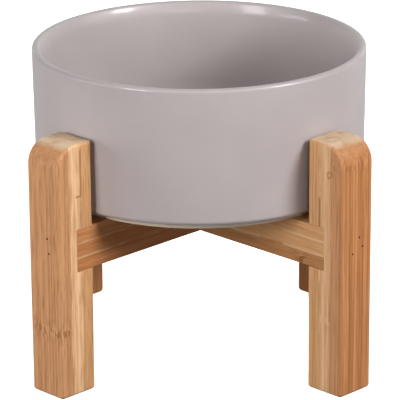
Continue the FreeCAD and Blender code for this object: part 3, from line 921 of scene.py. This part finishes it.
STOCK = {
    legs["front_left"]: dict(
        LEG_STOCK, seed=3.0, skin_tone=TAN, outer_tone=TAN, middle_tone=PALE, inner_tone=STRAW,
        outer_knuckle=32.0, butt_joint=94.9, open_seam=105.5, seam_reach=11.0,
        knuckle_strength=0.7, contrast=0.7, lines=0.1, dashes=0.4),
    legs["front_right"]: dict(
        LEG_STOCK, seed=11.0, skin_tone=AMBER, outer_tone=FLESH, middle_tone=HONEY, inner_tone=STRAW,
        outer_knuckle=109.0, middle_knuckle=36.0, bud=(7.8, -HALF_WIDTH / MM, 105.4), open_seam=86.0,
        knuckle_strength=0.3, contrast=0.9, lines=0.5, dashes=0.2),
    legs["back_left"]: dict(
        LEG_STOCK, seed=23.0, skin_tone=STRAW, outer_tone=STRAW, middle_tone=TAN, inner_tone=AMBER,
        outer_knuckle=70.0, middle_knuckle=25.0,
        knuckle_strength=0.6, contrast=0.8, lines=0.2, dashes=0.3),
    # The back right leg's inner layer is darkened to paint the shade it stands in under the bowl.
    legs["back_right"]: dict(
        LEG_STOCK, seed=31.0, skin_tone=AMBER, outer_tone=FLESH, middle_tone=STRAW, inner_tone=UMBER,
        middle_knuckle=64.0, knuckle_strength=0.6, contrast=0.8, lines=0.3, dashes=0.2),
    bars["lower_crossbar"]: dict(
        BAR_STOCK, seed=43.0, skin_tone=AMBER, outer_tone=AMBER, middle_tone=RUSSET, inner_tone=RUSSET,
        middle_knuckle=55.0, knuckle_strength=0.5, contrast=0.7, lines=0.15, dashes=0.25),
    bars["upper_crossbar"]: dict(
        BAR_STOCK, seed=59.0, skin_tone=STRAW, outer_tone=STRAW, middle_tone=STRAW, inner_tone=SIENNA,
        inner_knuckle=75.0, knuckle_strength=0.8, contrast=0.5, lines=0.08, dashes=0.2),
}


def bamboo_material(name, stock):
    """The bamboo group with one piece's own stock, paler on the sanded edges."""
    material, tree, shader = new_material(name)
    grain = attribute(tree, "grain", "Vector")
    wood = use_group(BAMBOO, grain=grain, end_grain=attribute(tree, "end_grain"), **stock)
    sanded = use_group(WORN_EDGE, color=wood.color, worn_color=SANDED, place=grain,
                       edge=attribute(tree, "eased"), amount=0.1)
    feed(shader, {"Base Color": sanded.color, "Roughness": wood.roughness,
                  "Normal": bump(wood.height, BAMBOO_RELIEF, strength=0.6), "Specular IOR Level": 0.12})
    return material


for piece, stock in STOCK.items():
    paint(piece, bamboo_material(f"bamboo_{piece.name}", stock))
print("dressed", len(STOCK), "pieces of bamboo stock")

# %% [markdown]
# ## Nails and pads
# The nails are dull wire, painted nearly black with the shade of the nail holes. The pads are soft rubber
# with a fine tooth. Both are tiny, but a plain colour would still show in a close view, so both use the
# unevenness group.

# %% Finish the brads and the foot pads
# The near-black of the wire is painted shade: the shade of the nail holes that the legs lack.
WIRE_DEEP, WIRE_PALE = (0.02, 0.012, 0.008, 1.0), (0.07, 0.045, 0.03, 1.0)
RUBBER_DEEP, RUBBER_PALE = (0.07, 0.065, 0.06, 1.0), (0.11, 0.1, 0.09, 1.0)
COARSE_TOOTH = 0.2


def uneven_material(name, deep, pale, roughness, metallic, shine, cloud_size, tooth_size, relief):
    """A plain stuff with clouds of tone, a rough tooth and small pits."""
    material, tree, shader = new_material(name)
    uneven = use_group(UNEVENNESS, place=object_place(tree), cloud_size=cloud_size, tooth_size=tooth_size)
    feed(shader, {"Base Color": mix(ramp(uneven.clouds, NOISE_LOW, NOISE_HIGH), deep, pale),
                  "Roughness": uneven.tooth * COARSE_TOOTH + roughness,
                  "Normal": bump(uneven.tooth - uneven.pits, relief),
                  "Metallic": metallic, "Specular IOR Level": shine})
    return material


wire = uneven_material("wire_with_painted_hole_shade", WIRE_DEEP, WIRE_PALE, roughness=0.6, metallic=0.3, shine=0.1,
                       cloud_size=0.6, tooth_size=0.12, relief=0.01 * MM)
rubber = uneven_material("pad_rubber", RUBBER_DEEP, RUBBER_PALE, roughness=0.7, metallic=0.0, shine=0.3,
                         cloud_size=4.0, tooth_size=0.3, relief=0.05 * MM)
for end in ENDS:
    paint(brads[end], wire)
    paint(pads[end], rubber)
print("finished", len(brads), "groups of brads and", len(pads), "foot pads")

# %% [markdown]
# ## Floor and light
# The feeder is shown on plain white, in soft light from low all round. A strong softbox to the front
# right and a weaker one to the front left shape the bowl and make the two highlights inside its lip. Low
# ones light the sides and the front, and a big dim one behind is what the rim and the tops of the legs
# reflect. Two more light the back for the views from there, and are kept out of reflections, where they
# would show on the rim. The floor glows by itself, so that no shadow greys it. It is hidden from bounced
# light, which would fill the shadows under the bowl, and reflections see a dimmer copy of it.

# %% Set the stage
FLOOR_SIDE = 6.0
FLOOR_WHITE = (0.8, 0.8, 0.8, 1.0)
FLOOR_GLOW, REFLECTED_GLOW = 1.1, 0.6
SURROUND_STRENGTH = 0.01
LIGHT_DISTANCE = 1.6


def make_floor(name, color, glow, hidden_from):
    """A glowing square on the ground that some kinds of ray don't see."""
    half = FLOOR_SIDE / 2
    mesh = bpy.data.meshes.new(name)
    corners = [(-half, -half, 0), (half, -half, 0), (half, half, 0), (-half, half, 0)]
    mesh.from_pydata(corners, [], [(0, 1, 2, 3)])
    floor = bpy.data.objects.new(name, mesh)
    bpy.context.scene.collection.objects.link(floor)
    material, _, shader = new_material(name)
    feed(shader, {"Base Color": color, "Roughness": 0.9,
                  "Emission Color": FLOOR_WHITE, "Emission Strength": glow})
    paint(floor, material)
    for kind in hidden_from:
        setattr(floor, f"visible_{kind}", False)
    floor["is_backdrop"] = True


def add_softbox(name, direction_deg, elevation_deg, width, height, power, reflected=True):
    """A light that looks at the feeder from a direction round it and a height above the horizon."""
    light = bpy.data.lights.new(name, "AREA")
    light.shape, light.size, light.size_y, light.energy = "RECTANGLE", width, height, power
    lamp = bpy.data.objects.new(name, light)
    lamp.visible_glossy = reflected
    bpy.context.scene.collection.objects.link(lamp)
    lamp.matrix_world = (Matrix.Translation((0, 0, BOWL_BASE))
                         @ Matrix.Rotation(math.radians(direction_deg), 4, "Z")
                         @ Matrix.Rotation(math.radians(90 - elevation_deg), 4, "X")
                         @ Matrix.Translation((0, 0, LIGHT_DISTANCE)))
    print("softbox", name, "at", direction_deg, "degrees,", power, "W")


make_floor("white_floor", FLOOR_WHITE, FLOOR_GLOW, hidden_from=("diffuse", "glossy"))
make_floor("reflected_floor", BLACK, REFLECTED_GLOW, hidden_from=("camera", "diffuse", "shadow"))
add_softbox("key", direction_deg=61, elevation_deg=30, width=0.45, height=0.6, power=24.4)
add_softbox("fill", direction_deg=-43, elevation_deg=18, width=0.45, height=0.8, power=15.3)
add_softbox("side_left", direction_deg=-76, elevation_deg=6, width=0.7, height=0.4, power=6)
add_softbox("side_right", direction_deg=84, elevation_deg=5, width=0.7, height=0.4, power=1.6)
add_softbox("front", direction_deg=15, elevation_deg=9, width=0.7, height=0.4, power=3.4)
add_softbox("back_left", direction_deg=-142, elevation_deg=8, width=0.6, height=0.5, power=9,
            reflected=False)
add_softbox("back_right", direction_deg=142, elevation_deg=8, width=0.6, height=0.5, power=10,
            reflected=False)
add_softbox("backdrop", direction_deg=180, elevation_deg=22, width=2.4, height=1.6, power=9.5)

world = bpy.data.worlds.new("white_surround")
world.use_nodes = True
feed(world.node_tree.nodes["Background"].inputs, {"Color": WHITE, "Strength": SURROUND_STRENGTH})
bpy.context.scene.world = world
bpy.context.scene.view_settings.view_transform = "Standard"

# %% [markdown]
# ## Camera
# The viewing angle was found by fitting the outlines of the bowl and the legs: the camera stands well
# back with a long lens, a little above the feeder, and is rolled by less than half a degree.

# %% Place the camera
IMAGE_SIDE_PX, FOCAL_LENGTH_PX, SENSOR_WIDTH = 400, 2872.4503, 36.0
CAMERA_PLACE = (-0.0000711, -1.2815114, 0.5077814)
PITCH_DOWN_DEG, ROLL_DEG = 18.8386, -0.3974

camera_data = bpy.data.cameras.new("camera")
camera_data.sensor_width = SENSOR_WIDTH
camera_data.lens = FOCAL_LENGTH_PX / IMAGE_SIDE_PX * SENSOR_WIDTH
camera = bpy.data.objects.new("camera", camera_data)
bpy.context.scene.collection.objects.link(camera)
camera.matrix_world = (Matrix.Translation(CAMERA_PLACE)
                       @ Matrix.Rotation(math.radians(90 - PITCH_DOWN_DEG), 4, "X")
                       @ Matrix.Rotation(math.radians(ROLL_DEG), 4, "Z"))
bpy.context.scene.camera = camera
print("lens", round(camera_data.lens, 1), "mm")

# %% [markdown]
# ## The finished box
# The finished pieces must not outgrow the imported model, so the size of their box is printed, as the
# model's was at the start.

# %% Print the finished box and finish
low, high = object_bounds()
print("finished box", [round(side / MM, 1) for side in high - low], "mm")
